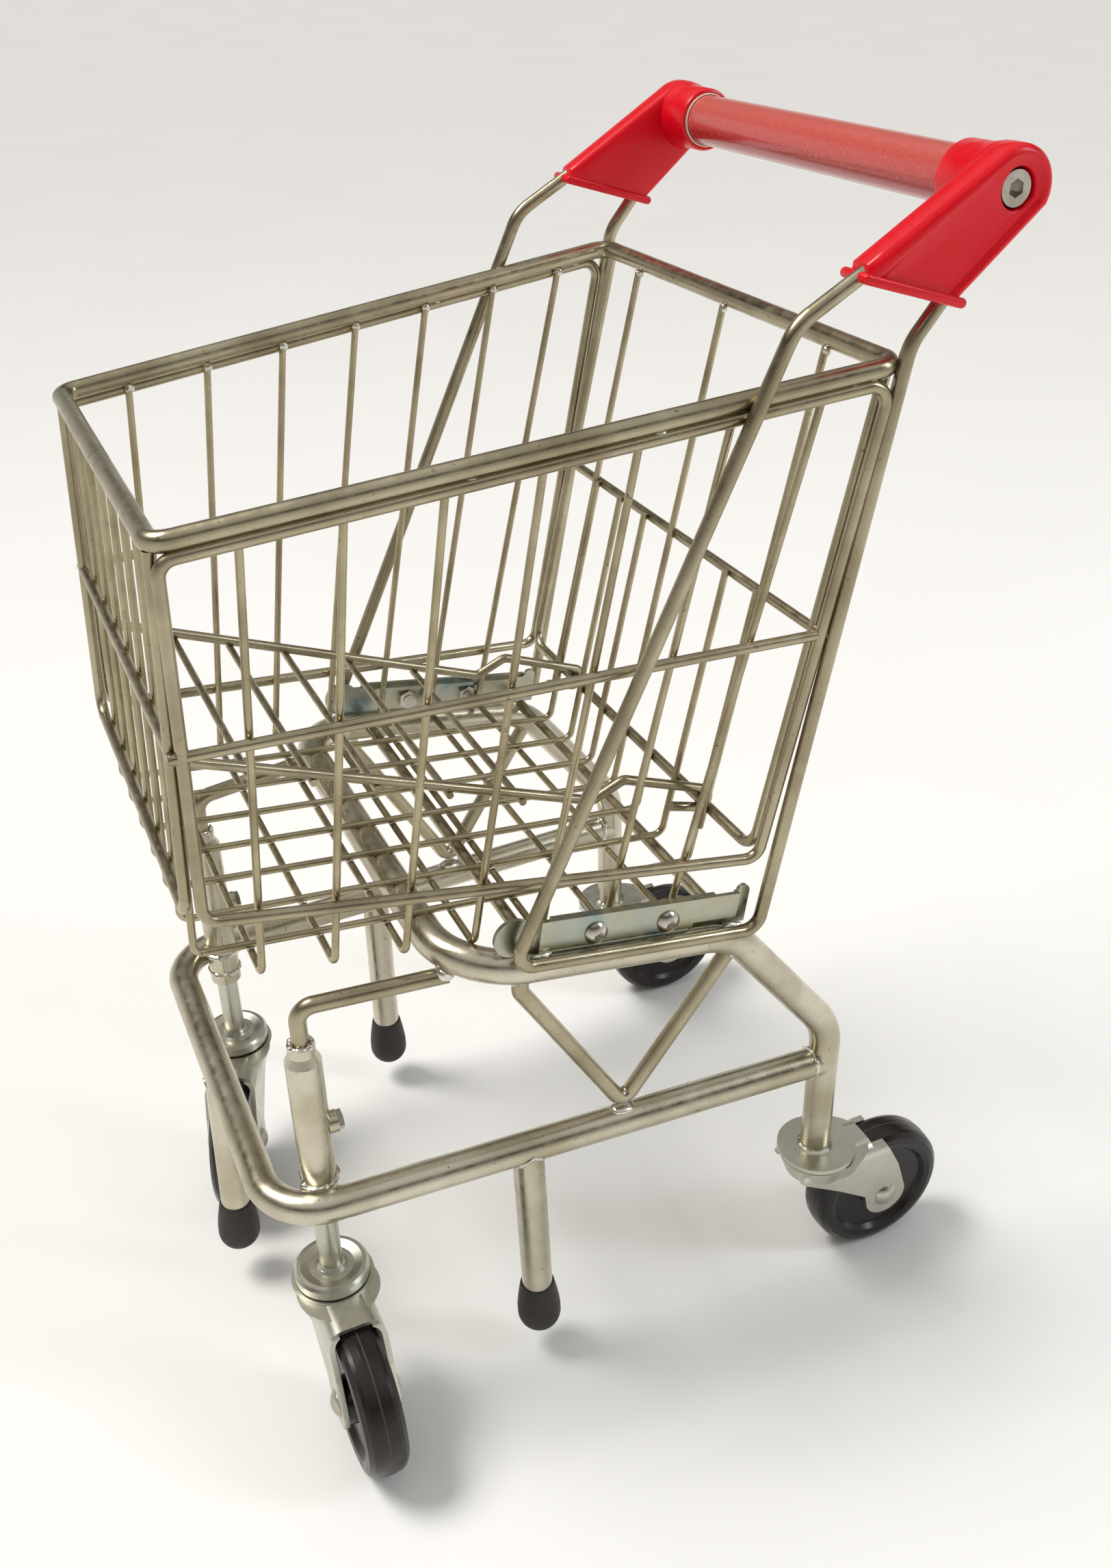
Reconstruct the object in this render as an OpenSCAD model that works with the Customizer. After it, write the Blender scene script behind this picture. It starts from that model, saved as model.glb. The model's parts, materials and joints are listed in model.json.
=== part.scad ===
// Small four-wheeled shopping cart: bent tube frame, welded wire basket with a lifting inner
// rack, push handle, two swivel casters at the front and two rigid ones at the rear.
// +X is the cart's left, the front faces -Y, +Z is up. The origin is on the floor, in the
// plane of symmetry, midway between the swivel axes and the rear axle.

/* [Wheels and casters] */
// Wheel diameter
wheel_d = 75; // [70:1:78]
// Wheel width
wheel_w = 20; // [16:1:20]
// Distance from the front swivel axes to the rear axle
wheelbase = 288; // [280:1:300]
// Distance from the swivel axis to the wheel axle
trail = 38; // [34:1:40]
// Swivel direction of the left front caster, 0 trails to the left
left_turn = 0; // [-180:1:180]
// Swivel direction of the right front caster
right_turn = -21; // [-180:1:180]

/* [Frame] */
// Outside diameter of the frame tube
tube_d = 15; // [13:1:16]
// Wall of the frame tube
tube_wall = 1.2; // [0.8:0.1:2]
// Height of the lower frame's centreline
lower_z = 136; // [130:1:142]
// Half the distance between the rear uprights
upright_x = 119.5; // [118:0.5:121]
// Half the distance between the front sleeves
sleeve_x = 92.5; // [91:0.5:93]

/* [Basket] */
// Diameter of the top rim rod
rim_d = 8; // [7:0.5:9]
// Diameter of the side, front and rear loop rods
loop_d = 5; // [4:0.5:5.5]
// Diameter of the thin grid wires
wire_d = 3.2; // [2.8:0.1:3.6]
// Number of wires that run crosswise
cross_count = 7; // [5:1:7]
// Distance between the lengthwise wires
long_pitch = 26; // [24:0.5:27]

/* [Handle] */
// Diameter of the handle rods
handle_rod_d = 6; // [5:0.5:7]
// Diameter of the grip
grip_d = 22; // [20:1:24]
// Height of the grip's axis
grip_z = 538.5; // [537:0.5:540]

/* [Hidden] */
$fn = 48;

left = 1;
right = -1;
zinc = [0.72, 0.68, 0.58];
red = [0.82, 0.03, 0.12];
black = [0.05, 0.045, 0.045];
clear = 0.08;

// Wheels and casters
wheel_r = wheel_d / 2;
front_y = -wheelbase / 2;
rear_axle_y = wheelbase / 2;
rear_x = 120;
fork_out = 13.7;
fork_t = 2.5;
fork_in = fork_out - fork_t;
axle_r = 4;
bush_r = 6;
crown_r = 19;
front_crown_z = 79;
rear_crown_z = 76.8;
rear_disc_t = 2.5;
ball_d = 3.3;
pin_r = 5;
stem_r = 5.5;
stem_top = 200;

// Frame
tube_r = tube_d / 2;
lower_front = [105, -168, lower_z];
lower_rear = [upright_x, 105.5, lower_z];
upright_foot_z = rear_crown_z + rear_disc_t;
upper_slope = -0.151;
upper_x = 117.5;
upper_front_y = -82.5;
upper_rear_y = 49;
sleeve_r = 8;
sleeve_z = [123, 219];
brace_r = 3.8;
leg_x = 111.2;
leg_side_y = -50.5;
left_lean = 3.5;
right_lean = -1;
front_lean = -5;
side_foot_z = 28;
front_foot_z = 34;
tip_r = 10.8;

// Basket
rim_r = rim_d / 2;
loop_r = loop_d / 2;
mid_r = 2.25;
wire_r = wire_d / 2;
weld = 0.4;
rim_front = [98.5, -171.5, 449];
rim_rear = [124, 105.5, 479.5];
front_low = [95, -180.5, 297.5];
rear_low = [117.5, 58.5, 272.8];
loop_front_low = [-175.5, 297];
loop_rear_low = [58.5, 270.8];
mid_z = [369, 374];
wire_in = 1.8;
floor_front = [-178.5, 267.5];
floor_rear = [48.5, 246];
cross_top_first = -142;
cross_top_pitch = 36.5;
cross_floor_first = -156;
cross_floor_pitch = 29.2;
support_r = 2.9;
support_y = [-44.5, 45];

// Mounts between frame and basket
strip_len = 96;
strip_h = 15;
sheet = 2;
plate_x = 117.5;
strip_x = plate_x + sheet;
screw_u = [-22, 13];
screw_v = 7;

// Handle
handle_x = 125.5;
handle_r = handle_rod_d / 2;
grip_r = grip_d / 2;
grip_y = 147;
bracket_in = 118;
bracket_out = 131;
boss_r = 13.8;
boss_end = 97.5;
hub_r = 15.3;
core_half = 117;
liner_half = 108;
grip_half = 105;
bracket_foot = [[84, 513.5], [124.5, 501.3]];
core_r = 8;
cap_head_r = 6.5;

// Inner rack
flap_x = 69;
flap_axis = [rear_low[1], rear_low[2]];
hook_r = loop_r + 0.1 + mid_r;
flap_front = [-169, 350.5];
flap_knee = [4, 286];
flap_crank = [19.5, 292.7];
flap_tail = [44, 272];
flap_wire_y = [-145, -120, -94, -63, -30];

// ---- Paths ----

function unit(v) = v / norm(v);
function turn_at(p, i) = acos(unit(p[i] - p[i - 1]) * unit(p[i + 1] - p[i]));
function is_end(p, i) = i == 0 || i == len(p) - 1;
function bend_at(bend, i) = is_list(bend) ? bend[i - 1] : bend;
function trim_at(p, i, bend) = bend_at(bend, i) * tan(turn_at(p, i) / 2);
function sideways(d) = unit(abs(d[2]) < 0.9 ? cross(d, [0, 0, 1]) : cross(d, [1, 0, 0]));

module place(origin, ex, ey, ez) {
    multmatrix([
        [ex[0], ey[0], ez[0], origin[0]],
        [ex[1], ey[1], ez[1], origin[1]],
        [ex[2], ey[2], ez[2], origin[2]]
    ]) children();
}

// Straight rod between two points
module straight(from, to, radius) {
    along = unit(to - from);
    across = sideways(along);
    place(from, across, cross(along, across), along) cylinder(h = norm(to - from), r = radius);
}

// Rod along a path of corners, rounded to one bend radius or to a list of them. The straights
// run a little way into the bends, which are a hair thicker, so that neighbouring surfaces never coincide.
module bent(path, radius, bend) {
    lap = 0.4;
    swell = 0.04;
    for (i = [0 : len(path) - 2]) {
        along = unit(path[i + 1] - path[i]);
        start_trim = is_end(path, i) ? 0 : trim_at(path, i, bend) - lap;
        end_trim = is_end(path, i + 1) ? 0 : trim_at(path, i + 1, bend) - lap;
        straight(path[i] + along * start_trim, path[i + 1] - along * end_trim, radius);
    }
    for (i = [1 : len(path) - 2]) {
        along = unit(path[i] - path[i - 1]);
        next = unit(path[i + 1] - path[i]);
        inward = unit(next - along * (next * along));
        start = path[i] - along * trim_at(path, i, bend);
        place(start + inward * bend_at(bend, i), -inward, along, cross(-inward, along))
            rotate_extrude(angle = turn_at(path, i))
                translate([bend_at(bend, i), 0]) circle(radius + swell);
    }
}

// Tube along a path, open at both ends
module bent_tube(path, radius, bend, wall) {
    difference() {
        bent(path, radius, bend);
        bent(path, radius - wall, bend);
    }
}

// Closed ring of rod: the two ends meet midway between the path's first and last corners,
// in a butt weld that a slightly thicker collar covers
module ring(path, radius, bend) {
    first = path[0];
    closing = unit(path[len(path) - 1] - first);
    middle = (first + path[len(path) - 1]) / 2;
    bent(concat([middle - closing * 0.5], path, [middle + closing * 0.5]), radius, bend);
    straight(middle - closing, middle + closing, radius + 0.05);
}

function flip(p, s) = [s * p[0], p[1], p[2]];
function in_plane(x, points) = [for (p = points) [x, p[0], p[1]]];
// The path's mirror image, in reverse order, so that it continues the path round the front
function mirrored(path) = [for (i = [len(path) - 1 : -1 : 0]) flip(path[i], -1)];
function mix(a, b, t) = a + (b - a) * t;

// ---- Shapes that the basket's rods share ----

function side_x(y) = mix(rim_front[0], rim_rear[0], (y - rim_front[1]) / (rim_rear[1] - rim_front[1]));
function rim_z(y) = mix(rim_front[2], rim_rear[2], (y - rim_front[1]) / (rim_rear[1] - rim_front[1]));
function front_y_at(z) =
    mix(rim_front[1], front_low[1], (rim_front[2] - z) / (rim_front[2] - front_low[2]));
function rear_y_at(z) = mix(rim_rear[1], rear_low[1], (rim_rear[2] - z) / (rim_rear[2] - rear_low[2]));
function floor_z(y) =
    mix(floor_front[1], floor_rear[1], (y - floor_front[0]) / (floor_rear[0] - floor_front[0]));
function upper_z(y) = 246.3 + upper_slope * (y + 54);

// ---- Frame ----

lower_half = [lower_rear, lower_front];
upper_half = [
    [upright_x, lower_rear[1], upright_foot_z],
    [upright_x, lower_rear[1], 158],
    [upper_x, upper_rear_y, upper_z(upper_rear_y)],
    [upper_x, upper_front_y, upper_z(upper_front_y)]
];
lower_path = concat(lower_half, mirrored(lower_half));
upper_path = concat(upper_half, mirrored(upper_half));

module lower_frame() {
    color(zinc) difference() {
        bent_tube(lower_path, tube_r, 28, tube_wall);
        for (s = [left, right]) {
            translate([s * sleeve_x, front_y, lower_z - 20]) cylinder(h = 40, r = sleeve_r);
            translate([s * upright_x, lower_rear[1], lower_z - 20]) cylinder(h = 40, r = tube_r);
        }
    }
}

module upper_frame() {
    vent_r = 2;
    color(zinc) difference() {
        bent_tube(upper_path, tube_r, 34, tube_wall);
        translate([0, upper_front_y, upper_z(upper_front_y) - tube_r - 1])
            cylinder(h = tube_r, r = vent_r);
    }
}

module v_brace(s) {
    foot_x = mix(lower_front[0], lower_rear[0], (-3 - lower_front[1]) / (lower_rear[1] - lower_front[1]));
    color(zinc) bent([
        flip([upper_x, -53.5, upper_z(-53.5) - tube_r + weld], s),
        flip([upper_x, -53.5, 233], s),
        flip([foot_x, -3, 147], s),
        flip([upper_x, 49.3, 222], s)
    ], brace_r, 5);
}

module front_link(s) {
    color(zinc) bent([
        flip([sleeve_x, front_y, sleeve_z[1] - 14], s),
        flip([sleeve_x, front_y, 238], s),
        flip([102, -80, 240.5], s)
    ], brace_r, 8);
}

module caster_sleeve(s) {
    neck = sleeve_z[1] - 9;
    boss_z = 171;
    color(zinc) translate([s * sleeve_x, front_y, 0]) difference() {
        union() {
            rotate_extrude() polygon([
                [0, sleeve_z[0]], [sleeve_r, sleeve_z[0]], [sleeve_r, neck],
                [6, neck + 4], [6, sleeve_z[1]], [0, sleeve_z[1]]
            ]);
            translate([0, sleeve_r - 1.5, boss_z]) rotate([-90, 0, 0]) cylinder(h = 4.5, r = 5.2);
        }
        translate([0, 0, sleeve_z[0] - 1]) cylinder(h = sleeve_z[1] - 14 - sleeve_z[0] + 1, r = stem_r);
        cylinder(h = sleeve_z[1] + 1, r = brace_r);
        translate([0, 0, boss_z]) rotate([-90, 0, 0]) cylinder(h = 20, r = 3);
    }
}

module sleeve_screws() {
    head_y = sleeve_r + 3;
    color(zinc) for (s = [left, right]) translate([s * sleeve_x, front_y, 171]) rotate([-90, 0, 0]) {
        translate([0, 0, stem_r]) cylinder(h = head_y - stem_r, r = 3);
        translate([0, 0, head_y]) cylinder(h = 2.5, r = 4.6, $fn = 6);
    }
}

// A leg is drawn upright; its foot leans back by the given distance, forward if negative
module at_leg(x, y, lean) {
    translate([x, y, lower_z]) rotate([asin(lean / lower_z), 0, 0])
        translate([0, 0, -lower_z]) children();
}

module leg_post(x, y, lean, foot_z) {
    color(zinc) difference() {
        at_leg(x, y, lean) difference() {
            translate([0, 0, foot_z]) cylinder(h = lower_z - foot_z, r = tube_r);
            translate([0, 0, foot_z - 1])
                cylinder(h = lower_z - tube_d - foot_z, r = tube_r - tube_wall);
        }
        bent(lower_path, tube_r, 28);
    }
}

// Egg-shaped rubber tip with a flat rim, over the foot of a leg
module leg_tip(x, y, lean, foot_z) {
    ball_z = 4;
    rim_h = 16.5;
    color(black) at_leg(x, y, lean) translate([0, 0, foot_z]) difference() {
        rotate_extrude() intersection() {
            union() {
                translate([0, -ball_z]) circle(tip_r);
                polygon([
                    [0, -ball_z], [tip_r, 0.5 - ball_z], [tip_r, 3], [tip_r - 0.6, 10],
                    [tip_r - 1.6, rim_h - 1.5], [tip_r - 2.4, rim_h], [0, rim_h]
                ]);
            }
            translate([0, -2 * tip_r]) square([tip_r + 1, 4 * tip_r]);
        }
        cylinder(h = rim_h + 1, r = tube_r);
    }
}

// ---- Casters ----

// Everything of a caster is drawn with its vertical axis on Z and its wheel trailing to +X
module at_front(s) {
    translate([s * sleeve_x, front_y, 0])
        rotate([0, 0, s == left ? left_turn : right_turn]) children();
}

module at_rear(s) {
    translate([s * rear_x, rear_axle_y - trail, 0]) rotate([0, 0, 90]) children();
}

module at_axle() {
    translate([trail, 0, wheel_r]) rotate([90, 0, 0]) children();
}

// Cross-section of the fork: a channel, open below, with rounded shoulders
module channel(half, top, shoulder) {
    translate([-half, -1]) square([2 * half, top - shoulder + 1]);
    translate([shoulder - half, -1]) square([2 * (half - shoulder), top + 1]);
    for (side = [left, right]) translate([side * (half - shoulder), top - shoulder]) circle(shoulder);
}

// Side outline of the fork, about the axle. Its roof is cut back to roof_end above roof_z.
module fork_outline(top, roof_z, roof_end) {
    edge = mix(6, -4, (roof_z - 20.5) / (top - 20.5));
    difference() {
        union() {
            circle(12);
            polygon([
                [-trail - 13, top], [-trail - 16, 31], [-trail - 8, 26], [-trail + 8, 16],
                [-13, 4], [-11.9, -1.5], [0, 0], [11.4, 3.6], [6, 20.5], [edge, roof_z],
                [roof_end, roof_z], [roof_end, top]
            ]);
        }
        circle(axle_r);
    }
}

module fork(crown_top) {
    shoulder = 8;
    hood_top = crown_top - 0.4;
    inner_top = crown_top - fork_t + 0.1;
    flare_z = crown_top - 12;
    flare_h = 10.8;
    roof_z = inner_top - wheel_r - 0.4;
    roof_end = inner_top > wheel_d + 1 ? -4 : -10;
    intersection() {
        translate([-trail, 0, 0]) rotate([90, 0, 90]) linear_extrude(3 * trail) difference() {
            channel(fork_out, hood_top, shoulder);
            channel(fork_in, inner_top, shoulder - fork_t);
        }
        at_axle() translate([0, 0, -wheel_w]) linear_extrude(2 * wheel_w)
            fork_outline(crown_top - wheel_r + 1, roof_z, roof_end);
    }
    translate([0, 0, crown_top - fork_t]) cylinder(h = fork_t, r = crown_r);
    difference() {
        for (u = [0, 9]) translate([u, 0, flare_z])
            cylinder(h = flare_h + u / 30, r1 = 15.5, r2 = crown_r + 0.4);
        translate([0, 0, flare_z - 1]) cylinder(h = flare_h + 1, r1 = 12.6, r2 = crown_r - 2.2);
        rotate([90, 0, 90]) linear_extrude(trail) channel(fork_in + 0.05, inner_top, shoulder - fork_t);
    }
}

module caster_stem(s) {
    cap_r = 17.5;
    under = front_crown_z + ball_d + 0.05;
    color(zinc) at_front(s) {
        translate([0, 0, under + 3]) cylinder(h = stem_top - under - 3, r = stem_r);
        difference() {
            rotate_extrude() polygon([
                [0, front_crown_z + 1], [cap_r, front_crown_z + 1], [cap_r, under + 1.8],
                [cap_r - 1.2, under + 3.2], [cap_r - 3, under + 3.4], [cap_r - 7, under + 2.2],
                [stem_r + 2, under + 2.4], [stem_r + 0.2, under + 5], [0, under + 5]
            ]);
            translate([0, 0, front_crown_z - 1]) cylinder(h = under - front_crown_z + 1, r = cap_r - 1.8);
        }
        translate([0, 0, front_crown_z - fork_t - 1]) cylinder(h = 8, r = pin_r);
        translate([0, 0, front_crown_z - fork_t - 3]) cylinder(h = 2.95, r = 6.4);
    }
}

module front_yoke(s) {
    color(zinc) at_front(s) difference() {
        fork(front_crown_z);
        cylinder(h = 100, r = pin_r + clear);
    }
}

module race_balls(s) {
    ball_count = 14;
    race_r = 11.5;
    color("silver") at_front(s) for (i = [0 : ball_count - 1])
        rotate([0, 0, i * 360 / ball_count])
            translate([race_r, 0, front_crown_z + ball_d / 2 + 0.02]) sphere(ball_d / 2);
}

// Shaft through both fork arms, with a domed head at each end
module axle() {
    dome_r = 9;
    head_r = 6.5;
    head_h = 3;
    color("silver") at_axle() {
        translate([0, 0, -fork_out]) cylinder(h = 2 * fork_out, r = axle_r);
        for (flipped = [0, 1]) mirror([0, 0, flipped]) translate([0, 0, fork_out]) intersection() {
            translate([0, 0, head_h - dome_r]) sphere(dome_r);
            cylinder(h = head_h, r = head_r);
        }
    }
}

module bush() {
    color("silver") at_axle() difference() {
        translate([0, 0, -fork_in]) cylinder(h = 2 * fork_in, r = bush_r);
        translate([0, 0, -fork_in - 1]) cylinder(h = 2 * fork_in + 2, r = axle_r);
    }
}

module wheel() {
    half = wheel_w / 2;
    bore = bush_r + clear;
    web = half - 3;
    hub = fork_in - 0.3;
    color(black) at_axle() rotate_extrude() polygon([
        [bore, -hub], [10.5, -hub], [11.5, -web], [26, -web], [28, -half + 0.6],
        [31, -half], [34, -half + 0.6], [wheel_r - 1.2, -half + 2.6], [wheel_r - 0.4, -half + 4.4],
        [wheel_r, -2], [wheel_r, 2], [wheel_r - 0.4, half - 4.4], [wheel_r - 1.2, half - 2.6],
        [34, half - 0.6], [31, half], [28, half - 0.6], [26, web], [11.5, web], [10.5, hub], [bore, hub]
    ]);
}

module rear_fork(s) {
    color(zinc) at_rear(s) {
        fork(rear_crown_z);
        translate([0, 0, rear_crown_z]) cylinder(h = rear_disc_t, r = crown_r + 1);
    }
}

// ---- Mounts ----

// Frame of a mount: X outward, Y along the upper tube, Z up from the tube's crest
module at_mount(s) {
    slope = atan(upper_slope);
    mirror([s < 0 ? 1 : 0, 0, 0]) translate([0, 0, upper_z(0)]) rotate([slope, 0, 0])
        translate([0, 0, tube_r]) children();
}

module upright_sheet(x, thickness) {
    translate([x, 0, 0]) rotate([90, 0, 90]) linear_extrude(thickness) children();
}

module screw_holes(radius) {
    for (u = screw_u) translate([u, screw_v]) circle(radius);
}

module mount_plate(s) {
    tab_r = 9;
    tab_u = -strip_len / 2 - 11;
    finger_w = 6;
    flange_w = 2;
    color(zinc) at_mount(s) {
        upright_sheet(plate_x, sheet) difference() {
            union() {
                translate([tab_u, tab_r - weld]) circle(tab_r);
                translate([tab_u, -weld]) square([strip_len / 2 - tab_u, strip_h]);
                translate([strip_len / 2 - 1, -weld]) square([finger_w + 1, strip_h + 1]);
                translate([(strip_len + finger_w) / 2, strip_h + 0.6]) circle(finger_w / 2);
            }
            screw_holes(3);
        }
        translate([plate_x - flange_w, -strip_len / 2 + 6, strip_h - weld - sheet])
            cube([flange_w + 1, strip_len - 16, sheet]);
    }
}

module clamp_strip(s) {
    lip_r = 1.15;
    notch = 3;
    color(zinc) at_mount(s) {
        upright_sheet(strip_x, sheet) difference() {
            translate([-strip_len / 2, 1]) square([strip_len, strip_h]);
            translate([strip_len / 2 - 22, 0]) square([30, notch + 1]);
            screw_holes(3);
        }
        translate([strip_x + lip_r, -strip_len / 2, 0.65]) rotate([-90, 0, 0])
            cylinder(h = strip_len - 24, r = lip_r);
    }
}

module mount_screws() {
    head_r = 5.3;
    head_h = 3.2;
    outer = strip_x + sheet;
    color("silver") for (s = [left, right]) at_mount(s) for (u = screw_u)
        translate([0, u, screw_v]) rotate([0, 90, 0]) difference() {
            union() {
                translate([0, 0, plate_x - 3.9]) cylinder(h = outer - plate_x + 3.9, r = 3);
                translate([0, 0, outer]) intersection() {
                    cylinder(h = head_h, r = head_r);
                    translate([0, 0, head_h - 7]) sphere(7);
                }
            }
            translate([0, 0, outer + head_h - 2]) cylinder(h = 3, r = 2.31, $fn = 6);
        }
}

module mount_nuts() {
    nut_r = 4.8 / cos(30);
    color("silver") for (s = [left, right]) at_mount(s) for (u = screw_u)
        translate([plate_x - 3.2, u, screw_v]) rotate([0, 90, 0]) difference() {
            cylinder(h = 3.2, r = nut_r, $fn = 6);
            translate([0, 0, -1]) cylinder(h = 6, r = 3);
        }
}

// Two rods across the frame that the basket's floor stands on
module support_rods() {
    color(zinc) for (y = support_y) {
        z = floor_z(y) - 2 * wire_r - wire_r + 2 * weld - support_r;
        straight([-upper_x + tube_r - 1, y, z], [upper_x - tube_r + 1, y, z], support_r);
    }
}

// ---- Basket ----

module basket_rim() {
    color(zinc) ring([
        rim_front, rim_rear, flip(rim_rear, -1), flip(rim_front, -1)
    ], rim_r, 8);
}

module side_loop(s) {
    out = loop_r + wire_r - weld - wire_in;
    drop = 5.5;
    corners = [
        [rim_front[1] + 1, rim_front[2] - drop], [rim_rear[1] - 3, rim_rear[2] - drop],
        loop_rear_low, loop_front_low
    ];
    path = [for (c = corners) [s * (side_x(c[0]) + out), c[0], c[1]]];
    color(zinc) ring(path, loop_r, 7);
}

// U of rod: down from the rim, across below and up to the rim again
module u_loop(top, low, sink, bend) {
    path = [top - [0, 0, sink], low];
    bent(concat(path, mirrored(path)), loop_r, bend);
}

module front_loop() {
    color(zinc) u_loop([front_low[0], rim_front[1], rim_front[2]], front_low, rim_r - 1, 10);
}

module rear_loop() {
    color(zinc) u_loop([rim_rear[0] - 7, rim_rear[1], rim_rear[2]], rear_low, rim_r - 1, 10);
}

module mid_rods() {
    out = mid_r + wire_r - weld - wire_in;
    front_y = front_y_at(mid_z[0]);
    rear_y = rear_y_at(mid_z[1]);
    front = [side_x(front_y) + out, front_y, mid_z[0]];
    rear = [side_x(rear_y) + out, rear_y, mid_z[1]];
    past = [0, 1.5, 0];
    color(zinc) {
        for (corner = [front, rear])
            straight(corner + [1.2, 0, 0], flip(corner, -1) - [1.2, 0, 0], mid_r);
        for (s = [left, right]) straight(flip(front, s) - past, flip(rear, s) + past, mid_r);
    }
}

// U-shaped wires across the basket: down one side, under the floor and up the other side
module cross_wires() {
    color(zinc) for (i = [0 : cross_count - 1]) {
        top_y = cross_top_first + i * cross_top_pitch;
        low_y = cross_floor_first + i * cross_floor_pitch;
        path = [
            [side_x(top_y) - wire_in, top_y, rim_z(top_y) - rim_r + 1],
            [side_x(low_y) - 3.5, low_y, floor_z(low_y) - 2 * wire_r + weld]
        ];
        bent(concat(path, mirrored(path)), wire_r, 5);
    }
}

// Wires down the front, along the floor and up the rear, inside the loops
module long_wires() {
    inset = loop_r + wire_r - weld;
    front_top = [rim_front[1] + 2.6, rim_front[2] - rim_r + 1.2];
    mid_end = [rear_y_at(mid_z[1] + 2) - inset, mid_z[1] + 2];
    rear_top = [rim_rear[1] - 3.2, rim_rear[2] - rim_r + 1];
    color(zinc) {
        for (i = [-3 : 3]) bent(in_plane(i * long_pitch, [
            front_top, floor_front, floor_rear, i == 0 ? rear_top : mid_end
        ]), wire_r, 5);
        for (s = [left, right]) straight(
            [s * (3 * long_pitch + wire_d - weld), rear_low[1] - inset - 2, rear_low[2] - 8],
            [s * (3 * long_pitch + wire_d - weld), rear_top[0], rear_top[1]], wire_r);
    }
}

// ---- Inner rack, hinged on the rear loop's bottom bar ----

// Where a line from a point reaches the far side of the hook circle, passing over it or under it
function hook_corner(from, over) =
    let (to_axis = flap_axis - from,
         heading = atan2(to_axis[1], to_axis[0]) + over * asin(hook_r / norm(to_axis)),
         run = flap_axis[0] + hook_r - from[0])
    [flap_axis[0] + hook_r, from[1] + run * tan(heading)];

module flap_frame() {
    color(zinc) for (s = [left, right]) bent(in_plane(s * flap_x, [
        flap_front, flap_knee, flap_crank, hook_corner(flap_crank, 1),
        hook_corner(flap_tail, -1), flap_tail
    ]), mid_r, hook_r);
}

module flap_wires() {
    under = mid_r + wire_r - weld;
    color(zinc) for (y = flap_wire_y) {
        z = mix(flap_front[1], flap_knee[1], (y - flap_front[0]) / (flap_knee[0] - flap_front[0]));
        straight([-flap_x - 2, y, z - under], [flap_x + 2, y, z - under], wire_r);
    }
}

// ---- Handle ----

handle_path = [
    [93, 518.8], [58.5, 499.5], [-59.5, 252.8], [58, 235.3], [109, 487], [130, 512.5]
];
handle_bends = [20, 7, 8, 20];

module handle_rod(s) {
    color(zinc) bent(in_plane(s * handle_x, handle_path), handle_r, handle_bends);
}

// Side outline of a bracket: a round head on a tapered body that widens to the foot
module bracket_outline(head_r, inset) {
    nose = 6;
    foot = [bracket_foot[0] + [inset, -0.6 * inset], bracket_foot[1] + [-inset, 0.6 * inset]];
    head = [grip_y, grip_z];
    upper = head + head_r * 0.99 * [cos(125), sin(125)];
    lower = head + head_r * 0.99 * [cos(-24), sin(-24)];
    translate(head) circle(head_r);
    polygon([foot[0], foot[1], lower, head, upper, foot[0] + [0.5, nose - inset]]);
}

module handle_bracket(s) {
    pocket = 1.5;
    lip = 3.5;
    along_foot = bracket_foot[1] - bracket_foot[0];
    color(red) mirror([s < 0 ? 1 : 0, 0, 0]) difference() {
        union() {
            upright_sheet(bracket_in, bracket_out - bracket_in) bracket_outline(hub_r, 0);
            translate([bracket_in - 1.5, bracket_foot[0][0], bracket_foot[0][1]])
                rotate([atan2(along_foot[1], along_foot[0]), 0, 0]) translate([0, -2, -1.5])
                    cube([bracket_out - bracket_in + 3, norm(along_foot) + 4, lip]);
            translate([boss_end, grip_y, grip_z]) rotate([0, 90, 0])
                cylinder(h = bracket_in - boss_end + 1, r = boss_r);
        }
        upright_sheet(bracket_out - pocket, pocket + 1) bracket_outline(hub_r - 3.5, 5);
        translate([0, grip_y, grip_z]) rotate([0, 90, 0]) {
            translate([0, 0, boss_end - 1]) cylinder(h = liner_half - boss_end + 2, r = grip_r + 0.1);
            translate([0, 0, liner_half]) cylinder(h = core_half - liner_half, r = core_r);
            cylinder(h = bracket_out, r = axle_r);
            translate([0, 0, 121]) cylinder(h = 20, r = cap_head_r + 1);
        }
        bent(in_plane(handle_x, handle_path), handle_r, handle_bends);
    }
}

module at_grip() {
    translate([0, grip_y, grip_z]) rotate([0, 90, 0]) children();
}

module pipe(outer, inner, half) {
    difference() {
        translate([0, 0, -half]) cylinder(h = 2 * half, r = outer);
        translate([0, 0, -half - 1]) cylinder(h = 2 * half + 2, r = inner);
    }
}

module handle_core() {
    color("silver") at_grip() pipe(core_r, axle_r, core_half);
}

module handle_liner() {
    color([0.95, 0.8, 0.75]) at_grip() pipe(grip_r - 1.5, core_r, liner_half);
}

module handle_grip() {
    color([0.85, 0.3, 0.3]) at_grip() pipe(grip_r, grip_r - 1.5, grip_half);
}

module handle_screws() {
    shank = 24;
    color("silver") for (flipped = [0, 1]) mirror([flipped, 0, 0])
        translate([121, grip_y, grip_z]) rotate([0, 90, 0]) difference() {
            union() {
                translate([0, 0, -shank]) cylinder(h = shank + 1, r = axle_r);
                cylinder(h = 7, r = cap_head_r);
            }
            translate([0, 0, 3.5]) cylinder(h = 5, r = 3.46, $fn = 6);
        }
}

// ---- Nodes ----

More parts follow.
